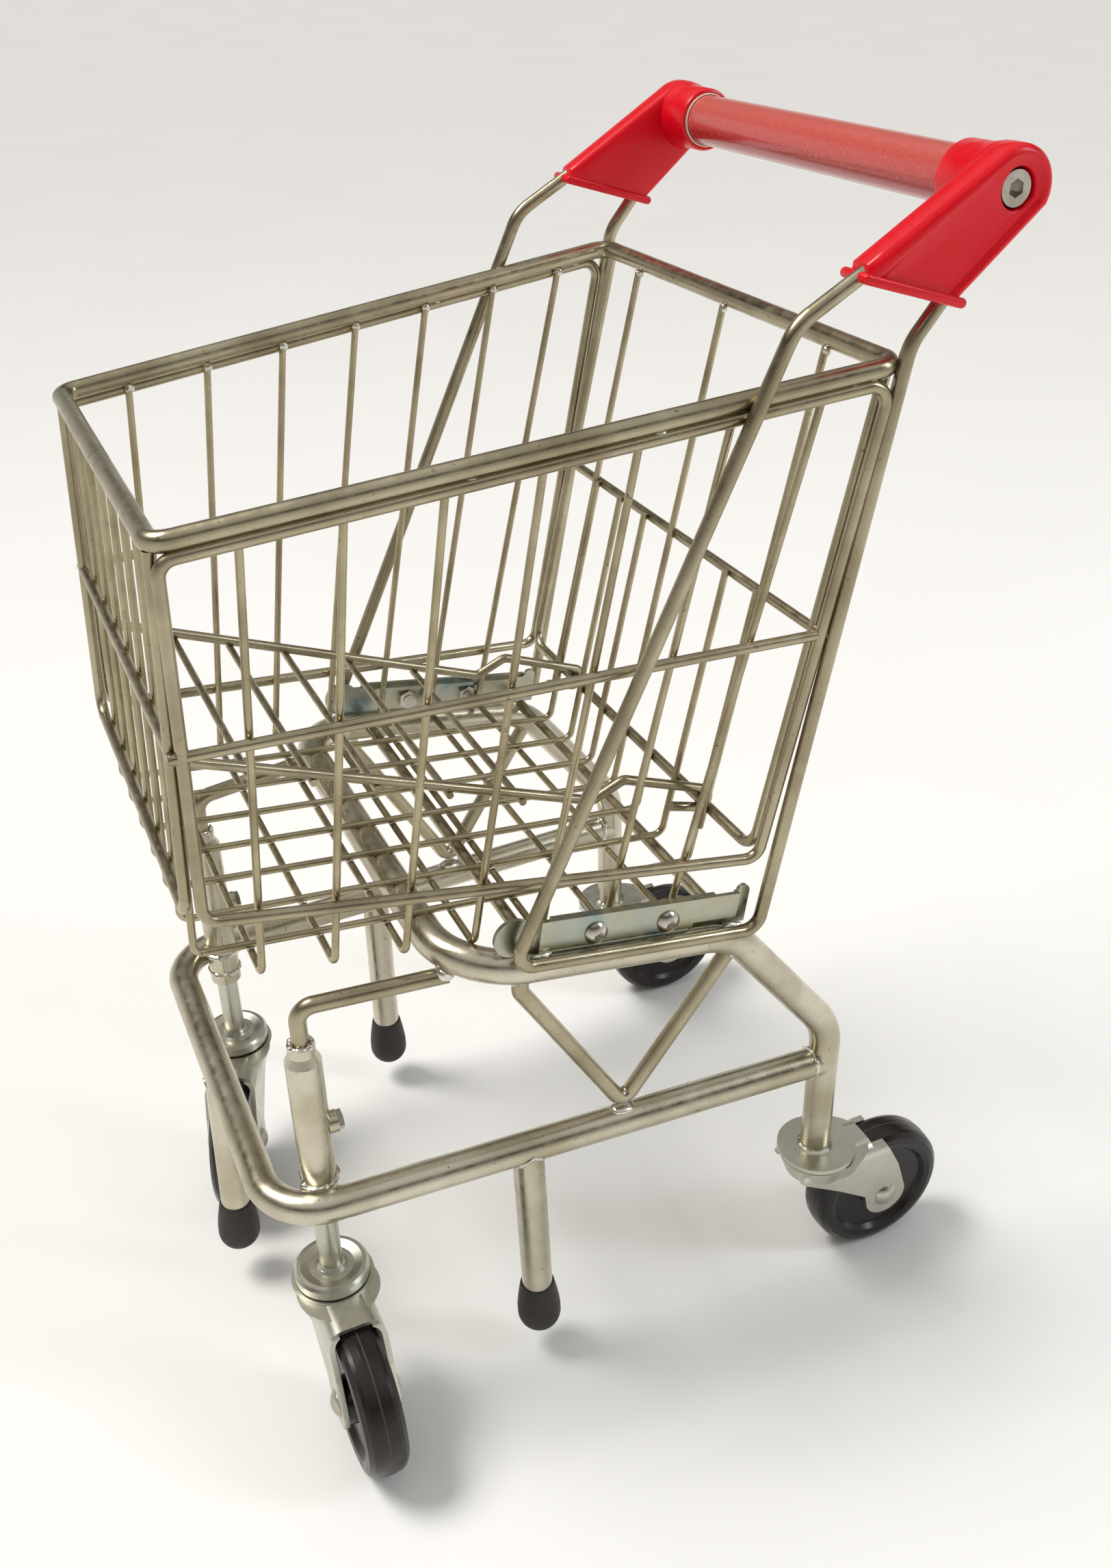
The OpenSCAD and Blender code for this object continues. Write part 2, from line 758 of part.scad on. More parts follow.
lower_frame();
upper_frame();
v_brace(left);  // v_brace_left
v_brace(right);  // v_brace_right
front_link(left);  // front_link_left
front_link(right);  // front_link_right
caster_sleeve(left);  // caster_sleeve_left
caster_sleeve(right);  // caster_sleeve_right
sleeve_screws();
leg_post(leg_x, leg_side_y, left_lean, side_foot_z);  // leg_post_left
leg_post(-leg_x, leg_side_y, right_lean, side_foot_z);  // leg_post_right
leg_post(0, lower_front[1], front_lean, front_foot_z);  // leg_post_front
leg_tip(leg_x, leg_side_y, left_lean, side_foot_z);  // leg_tip_left
leg_tip(-leg_x, leg_side_y, right_lean, side_foot_z);  // leg_tip_right
leg_tip(0, lower_front[1], front_lean, front_foot_z);  // leg_tip_front
caster_stem(left);  // caster_stem_left
caster_stem(right);  // caster_stem_right
front_yoke(left);  // front_yoke_left
front_yoke(right);  // front_yoke_right
race_balls(left);  // race_balls_left
race_balls(right);  // race_balls_right
at_front(left) axle();  // front_axle_left
at_front(right) axle();  // front_axle_right
at_front(left) bush();  // front_bush_left
at_front(right) bush();  // front_bush_right
at_front(left) wheel();  // front_wheel_left
at_front(right) wheel();  // front_wheel_right
rear_fork(left);  // rear_fork_left
rear_fork(right);  // rear_fork_right
at_rear(left) axle();  // rear_axle_left
at_rear(right) axle();  // rear_axle_right
at_rear(left) bush();  // rear_bush_left
at_rear(right) bush();  // rear_bush_right
at_rear(left) wheel();  // rear_wheel_left
at_rear(right) wheel();  // rear_wheel_right
mount_plate(left);  // mount_plate_left
mount_plate(right);  // mount_plate_right
clamp_strip(left);  // clamp_strip_left
clamp_strip(right);  // clamp_strip_right
mount_screws();
mount_nuts();
support_rods();
basket_rim();
side_loop(left);  // side_loop_left
side_loop(right);  // side_loop_right
front_loop();
rear_loop();
mid_rods();
cross_wires();
long_wires();
flap_frame();
flap_wires();
handle_rod(left);  // handle_rod_left
handle_rod(right);  // handle_rod_right
handle_bracket(left);  // handle_bracket_left
handle_bracket(right);  // handle_bracket_right
handle_core();
handle_liner();
handle_grip();
handle_screws();
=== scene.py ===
"""Looks of the small shopping cart: finishes for the CAD nodes, and the moulded, rubber and welded
pieces that need softer shapes than the CAD gives them. Lengths in the tables are millimetres."""
import json
import math

import bmesh
import bpy
from mathutils import Matrix, Vector, noise


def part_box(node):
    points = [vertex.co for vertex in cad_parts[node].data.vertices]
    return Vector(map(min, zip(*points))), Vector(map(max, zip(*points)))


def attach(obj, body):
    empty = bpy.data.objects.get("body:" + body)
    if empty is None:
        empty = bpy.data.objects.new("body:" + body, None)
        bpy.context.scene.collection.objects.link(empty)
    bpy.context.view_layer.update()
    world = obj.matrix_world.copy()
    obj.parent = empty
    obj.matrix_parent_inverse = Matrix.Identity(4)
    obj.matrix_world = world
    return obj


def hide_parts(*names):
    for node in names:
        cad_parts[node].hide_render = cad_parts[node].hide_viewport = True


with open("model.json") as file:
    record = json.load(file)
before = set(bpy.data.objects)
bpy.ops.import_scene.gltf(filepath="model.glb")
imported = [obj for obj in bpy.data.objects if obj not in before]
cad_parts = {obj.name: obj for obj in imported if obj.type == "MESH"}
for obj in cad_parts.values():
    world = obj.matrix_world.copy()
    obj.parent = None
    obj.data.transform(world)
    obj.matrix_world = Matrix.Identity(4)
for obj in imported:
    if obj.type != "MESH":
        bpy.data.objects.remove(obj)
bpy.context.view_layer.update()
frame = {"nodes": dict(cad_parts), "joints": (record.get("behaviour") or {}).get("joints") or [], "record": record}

MM = 0.001
SIDES = {"left": 1, "right": -1}

# ---- Sizes that the extra pieces share with the CAD part ----

SLEEVE = (92.5, -144.0)
UPRIGHT = (119.5, 105.5)
LOWER_Z = 136.0
LOWER_FRONT_Y = -168.0
TUBE_R = 7.5
UPPER_X = 117.5
LEGS = {
    "left": (111.2, -50.5, 3.5, 28),
    "right": (-111.2, -50.5, -1, 28),
    "front": (0, -168, -5, 34),
}
GRIP_AXIS = (147.0, 538.5)
GRIP_R = 11.0
BOSS_END = 97.5
BOSS_R = 13.8
HUB_R = 15.3
BRACKET_IN = 118.0
FOOT = ((84.0, 513.5), (124.5, 501.3))
WHEEL_R = 37.5


def upper_z(y):
    """Height of the upper tube's axis."""
    return 246.3 - 0.151 * (y + 54)


def floor_z(y):
    """Height of the lengthwise floor wires."""
    return 267.5 - 21.5 * (y + 178.5) / 227


def side_x(y):
    """Half the basket's width at the rim."""
    return 98.5 + 25.5 * (y + 171.5) / 277


def rim_z(y):
    """Height of the rim rod's axis."""
    return 449 + 30.5 * (y + 171.5) / 277


# ---- Materials ----

def set_stops(node, stops):
    """Gives a colour ramp its stops, each (position, colour)."""
    elements = node.color_ramp.elements
    while len(elements) < len(stops):
        elements.new(0.5)
    for element, (position, color) in zip(elements, stops):
        element.position = position
        element.color = (*color, 1)


class Finish:
    """A material's node tree, with one short call for each kind of node used here."""

    def __init__(self, name, metallic=0.0, roughness=0.4, coat=0.0):
        self.material = bpy.data.materials.new(name)
        self.material.use_nodes = True
        self.tree = self.material.node_tree
        self.shader = self.tree.nodes["Principled BSDF"]
        self.shader.inputs["Metallic"].default_value = metallic
        self.shader.inputs["Roughness"].default_value = roughness
        self.shader.inputs["Coat Weight"].default_value = coat
        self.shader.inputs["Coat Roughness"].default_value = 0.12
        self.coords = self.tree.nodes.new("ShaderNodeTexCoord").outputs["Object"]

    def link(self, source, node, name):
        self.tree.links.new(source, node.inputs[name])

    def noise(self, scale, detail=3.0):
        texture = self.tree.nodes.new("ShaderNodeTexNoise")
        texture.inputs["Scale"].default_value = scale
        texture.inputs["Detail"].default_value = detail
        self.link(self.coords, texture, "Vector")
        return texture.outputs["Fac"]

    def ramp(self, value, stops):
        node = self.tree.nodes.new("ShaderNodeValToRGB")
        set_stops(node, stops)
        self.link(value, node, "Fac")
        return node.outputs["Color"]

    def blend(self, factor, first, second):
        """Mix of two colours, each a fixed colour or a node's output."""
        node = self.tree.nodes.new("ShaderNodeMix")
        node.data_type = "RGBA"
        self.link(factor, node, "Factor")
        color_inputs = [socket for socket in node.inputs if socket.type == "RGBA"]
        for socket, value in zip(color_inputs, (first, second)):
            if isinstance(value, tuple):
                socket.default_value = (*value, 1)
            else:
                self.tree.links.new(value, socket)
        return next(socket for socket in node.outputs if socket.type == "RGBA")

    def span(self, value, low, high, start=0.3, end=0.7):
        """The value's range from start to end, stretched to run from low to high."""
        node = self.tree.nodes.new("ShaderNodeMapRange")
        limits = (("From Min", start), ("From Max", end), ("To Min", low), ("To Max", high))
        for name, number in limits:
            node.inputs[name].default_value = number
        self.link(value, node, "Value")
        return node.outputs["Result"]

    def height(self):
        node = self.tree.nodes.new("ShaderNodeSeparateXYZ")
        self.link(self.coords, node, "Vector")
        return node.outputs["Z"]

    def color(self, value):
        self.link(value, self.shader, "Base Color")

    def rough(self, value):
        self.link(value, self.shader, "Roughness")

    def bump(self, value, depth_mm):
        node = self.tree.nodes.new("ShaderNodeBump")
        node.inputs["Strength"].default_value = 1
        node.inputs["Distance"].default_value = depth_mm * MM
        self.link(value, node, "Height")
        self.link(node.outputs["Normal"], self.shader, "Normal")


def plated(name, bright, dull, rough=(0.2, 0.38), patch=26.0, grain=700.0, depth=0.02):
    """Zinc plating: broad dull patches, small dark flecks and a fine grain."""
    finish = Finish(name, metallic=1.0)
    fleck_color = tuple(channel * 0.45 for channel in dull)
    patches = finish.blend(finish.span(finish.noise(patch, 5.0), 0, 1, 0.38, 0.66), bright, dull)
    flecks = finish.span(finish.noise(420.0, 2.0), 0, 1, 0.68, 0.8)
    finish.color(finish.blend(flecks, patches, fleck_color))
    finish.rough(finish.span(finish.noise(140.0, 4.0), *rough))
    finish.bump(finish.noise(grain, 3.0), depth)
    return finish.material


def chromated(name):
    """Pressed sheet with the blue and straw tints of clear chromate."""
    finish = Finish(name, metallic=1.0)
    tints = finish.ramp(finish.noise(38.0, 4.0), (
        (0.30, (0.24, 0.33, 0.34)), (0.40, (0.40, 0.42, 0.36)), (0.56, (0.44, 0.42, 0.31)),
        (0.68, (0.40, 0.42, 0.36)), (0.78, (0.22, 0.31, 0.36)),
    ))
    finish.color(tints)
    finish.rough(finish.span(finish.noise(160.0, 4.0), 0.22, 0.4))
    finish.bump(finish.noise(900.0, 3.0), 0.015)
    return finish.material


def moulded(name, color, shade, rough, grain, depth, coat=0.0, specular=0.5):
    """Moulded plastic or rubber: a slightly uneven colour and a fine surface texture."""
    finish = Finish(name, coat=coat)
    finish.shader.inputs["Specular IOR Level"].default_value = specular
    finish.color(finish.blend(finish.span(finish.noise(grain, 2.0), 0, 1, 0.3, 0.75), color, shade))
    finish.rough(finish.span(finish.noise(90.0, 3.0), *rough))
    finish.bump(finish.noise(grain, 2.0), depth)
    return finish.material


def sleeve_with_painted_light(name):
    """The grip's glossy sleeve, coloured by height with painted light: its red a little lighter towards the top as
    a painted sheen, darker red below the axis as painted shade, and a pale brownish painted reflection along the
    very bottom.
    """
    finish = Finish(name, roughness=0.22, coat=0.3)
    low = (GRIP_AXIS[1] - GRIP_R) * MM
    high = (GRIP_AXIS[1] + GRIP_R) * MM
    # Painted light by height: pale painted reflection at the bottom, painted shade in the lower part, lighter
    # painted sheen towards the top.
    painted_light_bands = finish.ramp(finish.span(finish.height(), 0, 1, low, high), (
        (0.0, (0.50, 0.24, 0.17)), (0.10, (0.46, 0.16, 0.12)), (0.16, (0.40, 0.02, 0.02)),
        (0.36, (0.42, 0.025, 0.025)), (0.48, (0.54, 0.065, 0.06)), (1.0, (0.56, 0.11, 0.09)),
    ))
    speckle = finish.span(finish.noise(900.0, 2.0), 0, 0.35, 0.5, 0.8)
    finish.color(finish.blend(speckle, painted_light_bands, (0.72, 0.24, 0.20)))
    finish.bump(finish.noise(500.0, 2.0), 0.01)
    return finish.material


SLOTS = {
    "zinc_tube": plated("zinc_tube", (0.60, 0.56, 0.45), (0.42, 0.38, 0.27), (0.2, 0.36)),
    "zinc_rod": plated("zinc_rod", (0.44, 0.39, 0.27), (0.30, 0.255, 0.165), patch=30.0),
    "zinc_wire": plated("zinc_wire", (0.44, 0.385, 0.25), (0.29, 0.245, 0.15), patch=40.0),
    "zinc_sheet": plated("zinc_sheet", (0.62, 0.61, 0.53), (0.50, 0.48, 0.40), (0.26, 0.42),
                         patch=22.0, grain=800.0),
    "bright_steel": plated("bright_steel", (0.58, 0.55, 0.49), (0.40, 0.37, 0.31), (0.16, 0.3),
                           patch=90.0),
    "black_rubber": moulded("black_rubber", (0.020, 0.016, 0.014), (0.032, 0.026, 0.023),
                            (0.5, 0.68), 800.0, 0.03),
    "wheel_rubber": moulded("wheel_rubber", (0.009, 0.006, 0.005), (0.017, 0.012, 0.010),
                            (0.2, 0.34), 1100.0, 0.015, specular=0.4),
    "red_plastic": moulded("red_plastic", (0.74, 0.0005, 0.012), (0.62, 0.0005, 0.008),
                           (0.24, 0.36), 950.0, 0.02, coat=0.08, specular=0.3),
    # The grip's finish carries painted light: painted reflection, shade and sheen that follow height.
    "grip_plastic": sleeve_with_painted_light("grip_plastic"),
    "liner_plastic": moulded("liner_plastic", (0.80, 0.62, 0.52), (0.70, 0.52, 0.43),
                             (0.3, 0.45), 300.0, 0.02),
}
CHROMATED = chromated("chromated_sheet")
WELD = plated("weld_bead", (0.74, 0.72, 0.65), (0.50, 0.47, 0.39), (0.14, 0.3),
              patch=160.0, grain=420.0, depth=0.05)
SEAM = moulded("mould_seam", (0.055, 0.045, 0.040), (0.035, 0.028, 0.025), (0.45, 0.6), 600.0, 0.02)


def finish_cad_nodes():
    """Gives each CAD node its slot's finish; the mounts' sheet metal has its own chromated one."""
    for part in frame["record"]["subparts"]:
        mounts = part["node"].startswith(("mount_plate", "clamp_strip"))
        for holder in frame["nodes"][part["node"]].material_slots:
            holder.material = CHROMATED if mounts else SLOTS[part["material_slot"]]


# ---- Mesh helpers ----

def skin(bm, rings, cap_first=False, cap_last=False):
    """Joins rings of equal length, given in millimetres, into one surface."""
    rows = [[bm.verts.new(Vector(point) * MM) for point in ring] for ring in rings]
    count = len(rows[0])
    for lower, upper in zip(rows, rows[1:]):
        for i in range(count):
            after = (i + 1) % count
            bm.faces.new((lower[i], lower[after], upper[after], upper[i]))
    if cap_first:
        bm.faces.new(list(reversed(rows[0])))
    if cap_last:
        bm.faces.new(rows[-1])


def turned(bm, profile, origin, axis, segments=64, cap_first=False, cap_last=False):
    """Surface of revolution: the profile's points are (distance along the axis, radius)."""
    basis = Vector(axis).to_track_quat("Z", "Y").to_matrix()
    rings = []
    for along, radius in profile:
        ring = []
        for i in range(segments):
            angle = 2 * math.pi * i / segments
            local = Vector((radius * math.cos(angle), radius * math.sin(angle), along))
            ring.append(Vector(origin) + basis @ local)
        rings.append(ring)
    skin(bm, rings, cap_first, cap_last)


def piece(name, bm, material, body, replaces=()):
    """Makes the mesh a smooth-shaded object that rides on a body."""
    sharp = math.radians(42)
    bmesh.ops.remove_doubles(bm, verts=bm.verts, dist=1e-6)
    bmesh.ops.recalc_face_normals(bm, faces=bm.faces)
    for face in bm.faces:
        face.smooth = True
    for edge in bm.edges:
        edge.smooth = not (len(edge.link_faces) == 2 and edge.calc_face_angle() > sharp)
    mesh = bpy.data.meshes.new(name)
    bm.to_mesh(mesh)
    bm.free()
    mesh.materials.append(material)
    thing = bpy.data.objects.new(name, mesh)
    bpy.context.scene.collection.objects.link(thing)
    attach(thing, body)
    if replaces:
        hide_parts(*replaces)


# ---- Handle ----

def edge_points(start, end, first, count):
    """Points along a straight edge that is cut into eight, from the given one on."""
    steps = 8
    points = []
    for i in range(first, first + count):
        points.append(tuple(a + (b - a) * i / steps for a, b in zip(start, end)))
    return points


def circle_point(angle, radius):
    """A point of a circle about the grip's axis, as (y, z)."""
    return (GRIP_AXIS[0] + radius * math.cos(angle), GRIP_AXIS[1] + radius * math.sin(angle))


def bracket_ring(x, inset, side):
    """The bracket's side outline at one x, moved in by the inset."""
    nose = 5.0
    foot_tilt = 0.3
    head_from, head_to, head_steps = -26, 126, 40
    radius = HUB_R - inset
    front = (FOOT[0][0] + inset, FOOT[0][1] - foot_tilt * inset)
    rear = (FOOT[1][0] - inset, FOOT[1][1] + foot_tilt * inset)
    top = (front[0] + 0.5, front[1] + max(nose - inset, 0.8))
    head = []
    for i in range(head_steps + 1):
        degrees = head_from + (head_to - head_from) * i / head_steps
        head.append(circle_point(math.radians(degrees), radius))
    outline = edge_points(front, rear, 0, 8) + edge_points(rear, head[0], 0, 8)
    outline += head + edge_points(head[-1], top, 1, 8)
    return [(side * x, y, z) for y, z in outline]


def hole_ring(x, radius, like, side):
    """A circle about the grip's axis with one point facing each point of another ring."""
    ring = []
    for _, y, z in like:
        angle = math.atan2(z - GRIP_AXIS[1], y - GRIP_AXIS[0])
        ring.append((side * x, *circle_point(angle, radius)))
    return ring


def lip_ring(x, inset, side):
    """Outline of the flange round the bracket's foot: a slim bar with round ends."""
    half = 1.9 - inset
    beyond, lift = 1.0, 0.2
    steps = 8
    start, end = Vector(FOOT[0]), Vector(FOOT[1])
    along = (end - start).normalized()
    across = Vector((-along.y, along.x))
    start = start - along * beyond + across * lift
    end = end + along * beyond + across * lift
    ring = []
    for centre, turn in ((start, half), (end, -half)):
        for i in range(steps + 1):
            angle = math.pi * i / steps
            point = centre + across * turn * math.cos(angle) - along * turn * math.sin(angle)
            ring.append((side * x, point.x, point.y))
    return ring


def make_bracket(name, side):
    """Bracket: its body with a raised border and a screw hole, the foot's lip, and the grip's boss."""
    body = (
        (0, 2.6), (0.35, 1.3), (1.2, 0.45), (2.6, 0), (9.6, 0), (11.2, 0.4), (12.4, 1.4), (13, 2.7),
        (12.9, 3.7), (12.3, 4.6), (11.7, 5.3), (11.5, 6.2),
    )
    hole = ((11.5, 8.3), (11.2, 7.8), (10.6, 7.6), (3.0, 7.5))
    lip = ((-1.8, 1.0), (-1.5, 0.35), (-0.8, 0), (13.8, 0), (14.5, 0.35), (14.8, 1.0))
    boss = (
        (8.0, GRIP_R + 0.25), (1.2, GRIP_R + 0.3), (0.3, GRIP_R + 0.8), (0, GRIP_R + 1.5),
        (0.3, BOSS_R - 0.5), (1.4, BOSS_R), (12, BOSS_R + 0.1),
        (16, BOSS_R + 0.4), (18.5, BOSS_R + 0.9), (20.5, BOSS_R + 1.3), (23.5, BOSS_R + 1.35),
    )
    bm = bmesh.new()
    rings = [bracket_ring(BRACKET_IN + depth, inset, side) for depth, inset in body]
    face = rings[-1]
    rings += [hole_ring(BRACKET_IN + depth, radius, face, side) for depth, radius in hole]
    skin(bm, rings, cap_first=True, cap_last=True)
    rings = [lip_ring(BRACKET_IN + depth, inset, side) for depth, inset in lip]
    skin(bm, rings, cap_first=True, cap_last=True)
    turned(bm, boss, (side * BOSS_END, *GRIP_AXIS), (side, 0, 0), 72)
    piece(f"bracket_{name}", bm, SLOTS["red_plastic"], "cart",
          [f"handle_bracket_{name}"])


def make_grip_ring(name, side):
    """The pale end of the liner, which shows as a thin ring in the bracket's mouth."""
    bm = bmesh.new()
    edges = ((2.0, -0.2), (-0.5, 0), (-0.9, 0.4), (-0.6, 0.9), (2.0, 1.0))
    profile = [(along, GRIP_R + out) for along, out in edges]
    turned(bm, profile, (side * BOSS_END, *GRIP_AXIS), (side, 0, 0), 72)
    piece(f"grip_end_ring_{name}", bm, SLOTS["liner_plastic"], "cart")


# ---- Rubber ----

def make_leg_tip(name):
    """Egg-shaped rubber cap. Its leg's foot stands back by the lean, forward if that is negative."""
    x, y, lean, foot_z = LEGS[name]
    ball_r, ball_drop, ball_steps = 10.8, 4.0, 12
    slope = lean / LOWER_Z
    foot = (x, y + slope * (LOWER_Z - foot_z), foot_z)
    profile = []
    for i in range(ball_steps + 1):
        angle = math.radians(-88 + 88 * i / ball_steps)
        profile.append((ball_r * math.sin(angle) - ball_drop, ball_r * math.cos(angle)))
    profile += [
        (0.5, 10.75), (3.5, 10.45), (7, 10.0), (10.5, 9.45), (13.5, 8.9), (15.4, 8.6), (16.2, 8.3),
        (16.5, 7.9), (16.4, 7.6), (15.6, 7.5), (12, 7.45),
    ]
    bm = bmesh.new()
    turned(bm, profile, foot, (0, -slope, 1), 56, cap_first=True)
    piece(f"tip_{name}", bm, SLOTS["black_rubber"], "cart", [f"leg_tip_{name}"])


def make_wheel_seam(wheel):
    """The thin mould line round the middle of a tread. A wheel's body has its node's name."""
    low, high = (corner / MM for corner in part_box(wheel))
    centre = (low + high) / 2
    joint = next(joint for joint in frame["joints"] if joint["child"] == wheel)
    bm = bmesh.new()
    ridge = ((-0.55, -0.3), (-0.3, 0.05), (0.3, 0.05), (0.55, -0.3))
    turned(bm, [(along, WHEEL_R + out) for along, out in ridge], centre, joint["axis"], 96)
    piece(f"{wheel}_seam", bm, SEAM, wheel)


# ---- Welds ----

def bead(bm, centre, normal, radius, thickness, seed, saddle=None):
    """A lumpy ring of weld. A saddle gives the direction of the tube that the ring is draped over."""
    basis = Vector(normal).to_track_quat("Z", "Y").to_matrix()
    around, section = 44, 8
    rings = []
    for i in range(around + 1):
        angle = 2 * math.pi * (i % around) / around
        outward = basis @ Vector((math.cos(angle), math.sin(angle), 0))
        middle = Vector(centre) + outward * radius
        if saddle:
            along = Vector(saddle).normalized()
            across = (outward - along * outward.dot(along)).length * radius
            drop = TUBE_R - math.sqrt(max(TUBE_R ** 2 - across ** 2, 0.4))
            middle -= Vector(normal) * drop
        place = Vector((seed * 7.3, math.cos(angle) * 2.4, math.sin(angle) * 2.4))
        lump = 0.85 + 0.7 * noise.noise(place)
        ring = []
        for j in range(section):
            turn = 2 * math.pi * j / section
            offset = outward * math.cos(turn) + Vector(normal) * math.sin(turn)
            ring.append(middle + offset * thickness * lump)
        rings.append(ring)
    skin(bm, rings)


def blob(bm, centre, size, seed):
    """A small flattened drop of weld."""
    made = bmesh.ops.create_icosphere(bm, subdivisions=2, radius=MM)
    for vertex in made["verts"]:
        wobble = 1 + 0.3 * noise.noise(vertex.co / MM * 1.3 + Vector((seed * 3.1, 0, 0)))
        scaled = Vector(vertex.co[k] / MM * size[k] * wobble for k in range(3))
        vertex.co = (Vector(centre) + scaled) * MM


def make_frame_welds():
    """Welds of each side's frame. A ring is (centre, normal, radius, thickness, saddle)."""
    for name, side in SIDES.items():
        sleeve = (side * SLEEVE[0], SLEEVE[1])
        upright = (side * UPRIGHT[0], UPRIGHT[1])
        rings = (
            ((*upright, 79.4), (0, 0, 1), 7.7, 1.7, None),
            ((upright[0] - side * 0.4, 98.3, LOWER_Z), (side * 0.053, 0.999, 0), 7.5, 1.3, None),
            ((*sleeve, LOWER_Z + 5.5), (0, 0, 1), 8.0, 1.8, None),
            ((*sleeve, LOWER_Z - 6.5), (0, 0, 1), 7.9, 1.3, None),
            ((*sleeve, 218.6), (0, 0, 1), 4.6, 1.7, None),
            ((side * UPPER_X, -53.5, upper_z(-53.5) - 7.0), (0, 0, -1), 3.8, 1.4, (0, 1, -0.151)),
            ((side * UPPER_X, 48.6, 221.2), (0, 0.565, 0.825), 3.9, 1.4, None),
            ((*LEGS[name][:2], LOWER_Z - 7.2), (0, 0, -1), 7.4, 1.4, (0, 1, 0)),
        )
        bm = bmesh.new()
        for seed, (centre, normal, radius, thickness, saddle) in enumerate(rings):
            bead(bm, centre, normal, radius, thickness, seed + 20 * side, saddle)
        brace_foot, link_end = (113.748, -3, 143.6), (101.8, -81.2, 242.4)
        blob(bm, (side * brace_foot[0], *brace_foot[1:]), (4.6, 6.5, 1.7), 3 * side)
        blob(bm, (side * link_end[0], *link_end[1:]), (4.8, 4.8, 3.2), 5 * side)
        for y in (-46.0, 46.0):
            blob(bm, (side * 122.8, y, upper_z(y) + 7.4), (1.6, 5.5, 1.8), y * side)
        piece(f"frame_welds_{name}", bm, WELD, "cart")


def make_front_leg_weld():
    bm = bmesh.new()
    bead(bm, (0, LOWER_FRONT_Y, LOWER_Z - 7.2), (0, 0, -1), 7.4, 1.4, 51, (1, 0, 0))
    piece("front_leg_weld", bm, WELD, "cart")


def make_stem_welds():
    """The ring where a front caster's stem enters its cap."""
    for name, side in SIDES.items():
        bm = bmesh.new()
        bead(bm, (side * SLEEVE[0], SLEEVE[1], 85.2), (0, 0, 1), 5.9, 1.2, 60 + side)
        piece(f"stem_weld_{name}", bm, WELD, "cart")


def make_rim_spots():
    """Drops of weld where the wires and loops meet the rim."""
    bm = bmesh.new()
    for side in SIDES.values():
        for i in range(7):
            y = -142 + 36.5 * i
            blob(bm, (side * (side_x(y) - 1.8), y, rim_z(y) - 5.0), (2.1, 2.3, 2.4), i + 9 * side)
        for y in (-60.0, 10.0, 88.0):
            blob(bm, (side * (side_x(y) + 1.5), y, rim_z(y) - 4.1), (2.0, 4.0, 1.9), y * side)
        for x in (26.0, 52.0, 78.0):
            blob(bm, (side * x, -168.9, 444.6), (2.1, 2.0, 2.2), x * side)
        blob(bm, (side * 80.8, 102.3, 475.0), (2.2, 2.0, 2.3), 31 * side)
    for y, z in ((-168.9, 444.6), (102.3, 475.0)):
        blob(bm, (0, y, z), (2.1, 2.0, 2.2), z)
    piece("rim_spot_welds", bm, WELD, "cart")


def make_floor_spots():
    """Resistance welds where the floor's wires cross."""
    bm = bmesh.new()
    for i in range(7):
        y = -156 + 29.2 * i
        for j in range(-3, 4):
            blob(bm, (26.0 * j, y, floor_z(y) - 1.45), (1.9, 1.9, 1.25), i * 11 + j)
    piece("floor_spot_welds", bm, WELD, "cart")


# ---- Set ----

def area_light(name, place, size, energy, color):
    """A softbox that faces the middle of the cart."""
    target = (0, 0, 0.3)
    light = bpy.data.lights.new(name, "AREA")
    light.shape = "RECTANGLE"
    light.size, light.size_y = size
    light.energy = energy
    light.color = color
    lamp = bpy.data.objects.new(name, light)
    lamp.location = place
    lamp.rotation_euler = (Vector(target) - Vector(place)).to_track_quat("-Z", "Y").to_euler()
    bpy.context.scene.collection.objects.link(lamp)


def make_sun(place, energy, degrees, color):
    """Broad, even light from the side on which the place lies."""
    light = bpy.data.lights.new("sun", "SUN")
    light.energy = energy
    light.angle = math.radians(degrees)
    light.color = color
    lamp = bpy.data.objects.new("sun", light)
    lamp.rotation_euler = Vector(place).to_track_quat("Z", "Y").to_euler()
    bpy.context.scene.collection.objects.link(lamp)


def make_floor():
    half = 40.0
    below = -0.0002
    bm = bmesh.new()
    corners = ((-half, -half), (half, -half), (half, half), (-half, half))
    bm.faces.new([bm.verts.new((*corner, below)) for corner in corners])
    mesh = bpy.data.meshes.new("floor")
    bm.to_mesh(mesh)
    bm.free()
    floor = bpy.data.objects.new("floor", mesh)
    finish = Finish("floor_paint", roughness=0.8)
    patches = finish.span(finish.noise(3.0), 0, 1)
    finish.color(finish.blend(patches, (0.86, 0.85, 0.83), (0.88, 0.87, 0.85)))
    mesh.materials.append(finish.material)
    bpy.context.scene.collection.objects.link(floor)


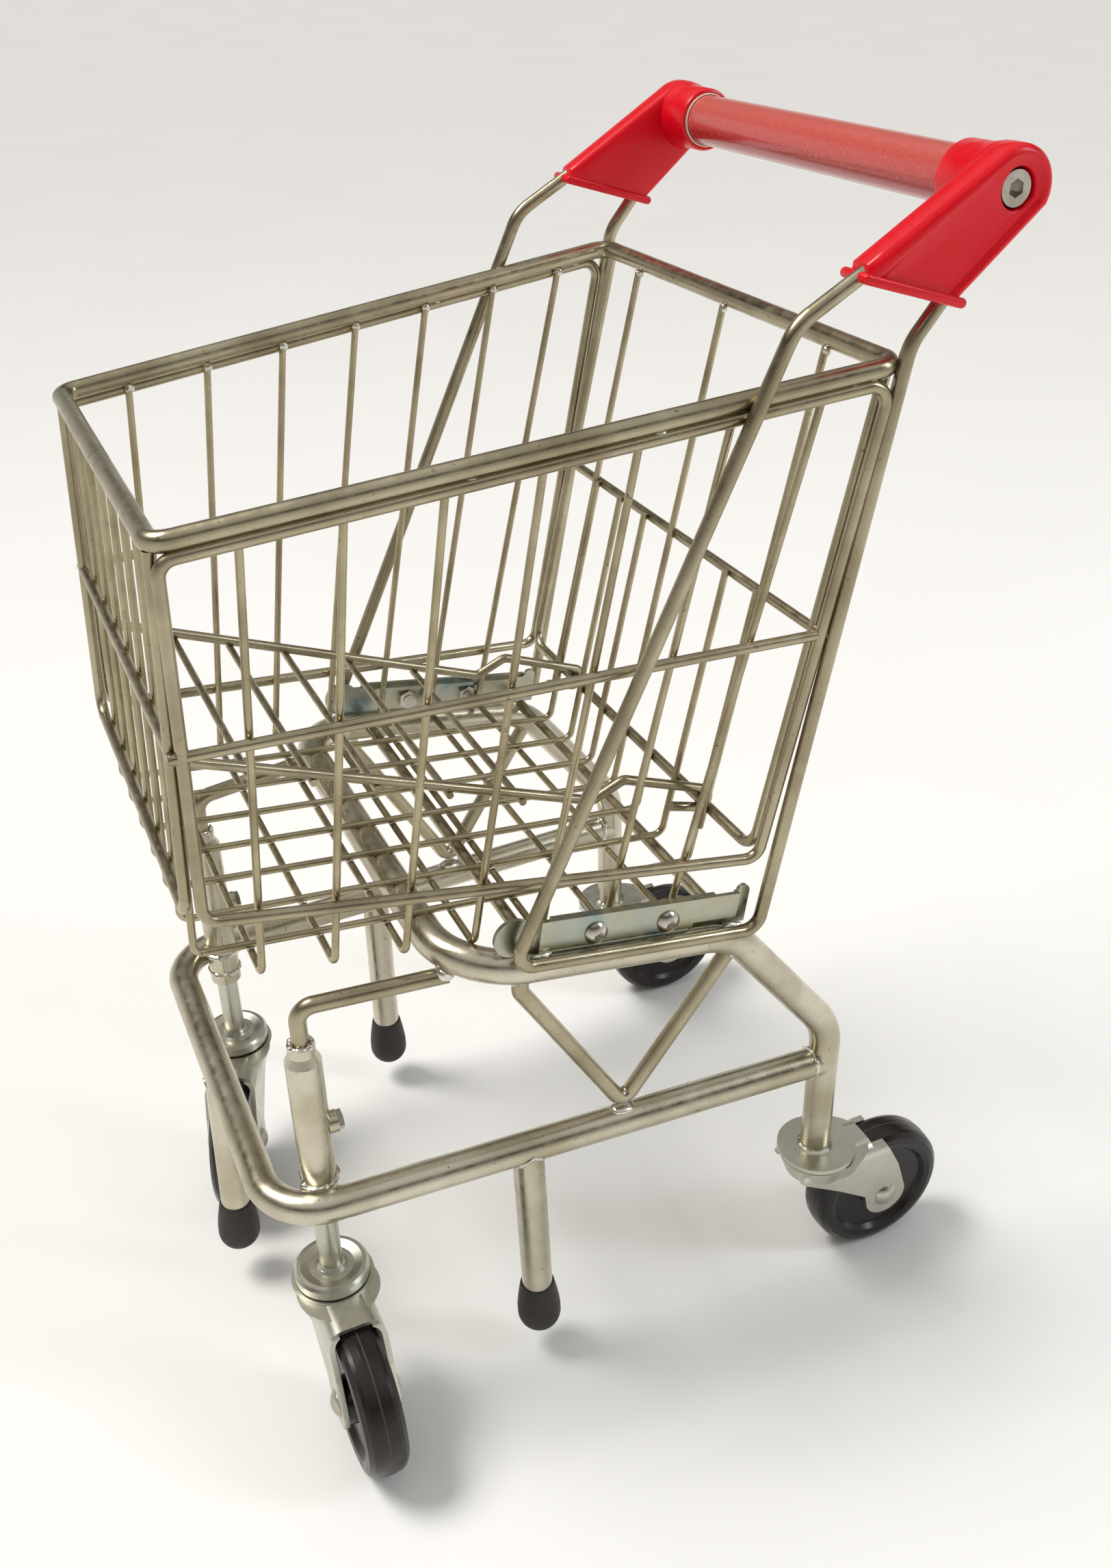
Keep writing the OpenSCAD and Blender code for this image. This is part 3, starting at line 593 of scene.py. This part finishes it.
def make_world():
    """Studio surroundings: pale at the horizon and above, with a dark band that the rods reflect."""
    world = bpy.data.worlds.new("studio")
    world.use_nodes = True
    tree = world.node_tree
    coords = tree.nodes.new("ShaderNodeTexCoord")
    split = tree.nodes.new("ShaderNodeSeparateXYZ")
    ramp = tree.nodes.new("ShaderNodeValToRGB")
    tree.links.new(coords.outputs["Generated"], split.inputs["Vector"])
    tree.links.new(split.outputs["Z"], ramp.inputs["Fac"])
    tree.links.new(ramp.outputs["Color"], tree.nodes["Background"].inputs["Color"])
    shades = (
        (0.0, (0.95, 0.94, 0.92)), (0.24, (0.80, 0.79, 0.77)), (0.36, (0.14, 0.12, 0.10)),
        (0.55, (0.16, 0.15, 0.13)), (0.72, (0.85, 0.84, 0.82)), (1.0, (1.0, 0.99, 0.98)),
    )
    set_stops(ramp, shades)
    tree.nodes["Background"].inputs["Strength"].default_value = 0.7
    bpy.context.scene.world = world


def make_camera():
    """Camera at the fitted place and angle. Its focal length and shift are in pixels of the frame."""
    frame_height, focal, shift = 2292, 2151, (-18, 2)
    right = Vector((0.4196, 0.9075, -0.0150)).normalized()
    ahead = Vector((-0.7812, 0.3527, -0.5150)).normalized()
    up = right.cross(ahead).normalized()
    camera = bpy.data.cameras.new("camera")
    camera.sensor_width = 36
    camera.lens = camera.sensor_width * focal / frame_height
    camera.shift_x, camera.shift_y = (pixels / frame_height for pixels in shift)
    camera.clip_end = 200
    viewer = bpy.data.objects.new("camera", camera)
    turn = Matrix((right, up, -ahead)).transposed().to_4x4()
    viewer.matrix_world = Matrix.Translation((0.5736, -0.2356, 0.6296)) @ turn
    bpy.context.scene.collection.objects.link(viewer)
    bpy.context.scene.camera = viewer


finish_cad_nodes()
for side_name, sign in SIDES.items():
    make_bracket(side_name, sign)
    make_grip_ring(side_name, sign)
    make_wheel_seam(f"front_wheel_{side_name}")
    make_wheel_seam(f"rear_wheel_{side_name}")
for leg in LEGS:
    make_leg_tip(leg)
make_frame_welds()
make_front_leg_weld()
make_stem_welds()
make_rim_spots()
make_floor_spots()
make_floor()
make_world()
make_camera()
make_sun((-0.7, -1.2, 2.4), 1.5, 22, (1.0, 0.98, 0.955))
area_light("key", (-0.5, -0.9, 2.2), (0.8, 0.5), 14, (1.0, 0.97, 0.92))
area_light("window", (1.3, 1.7, 1.7), (0.5, 1.2), 15, (0.86, 0.94, 1.0))
bpy.context.scene.view_settings.view_transform = "Standard"
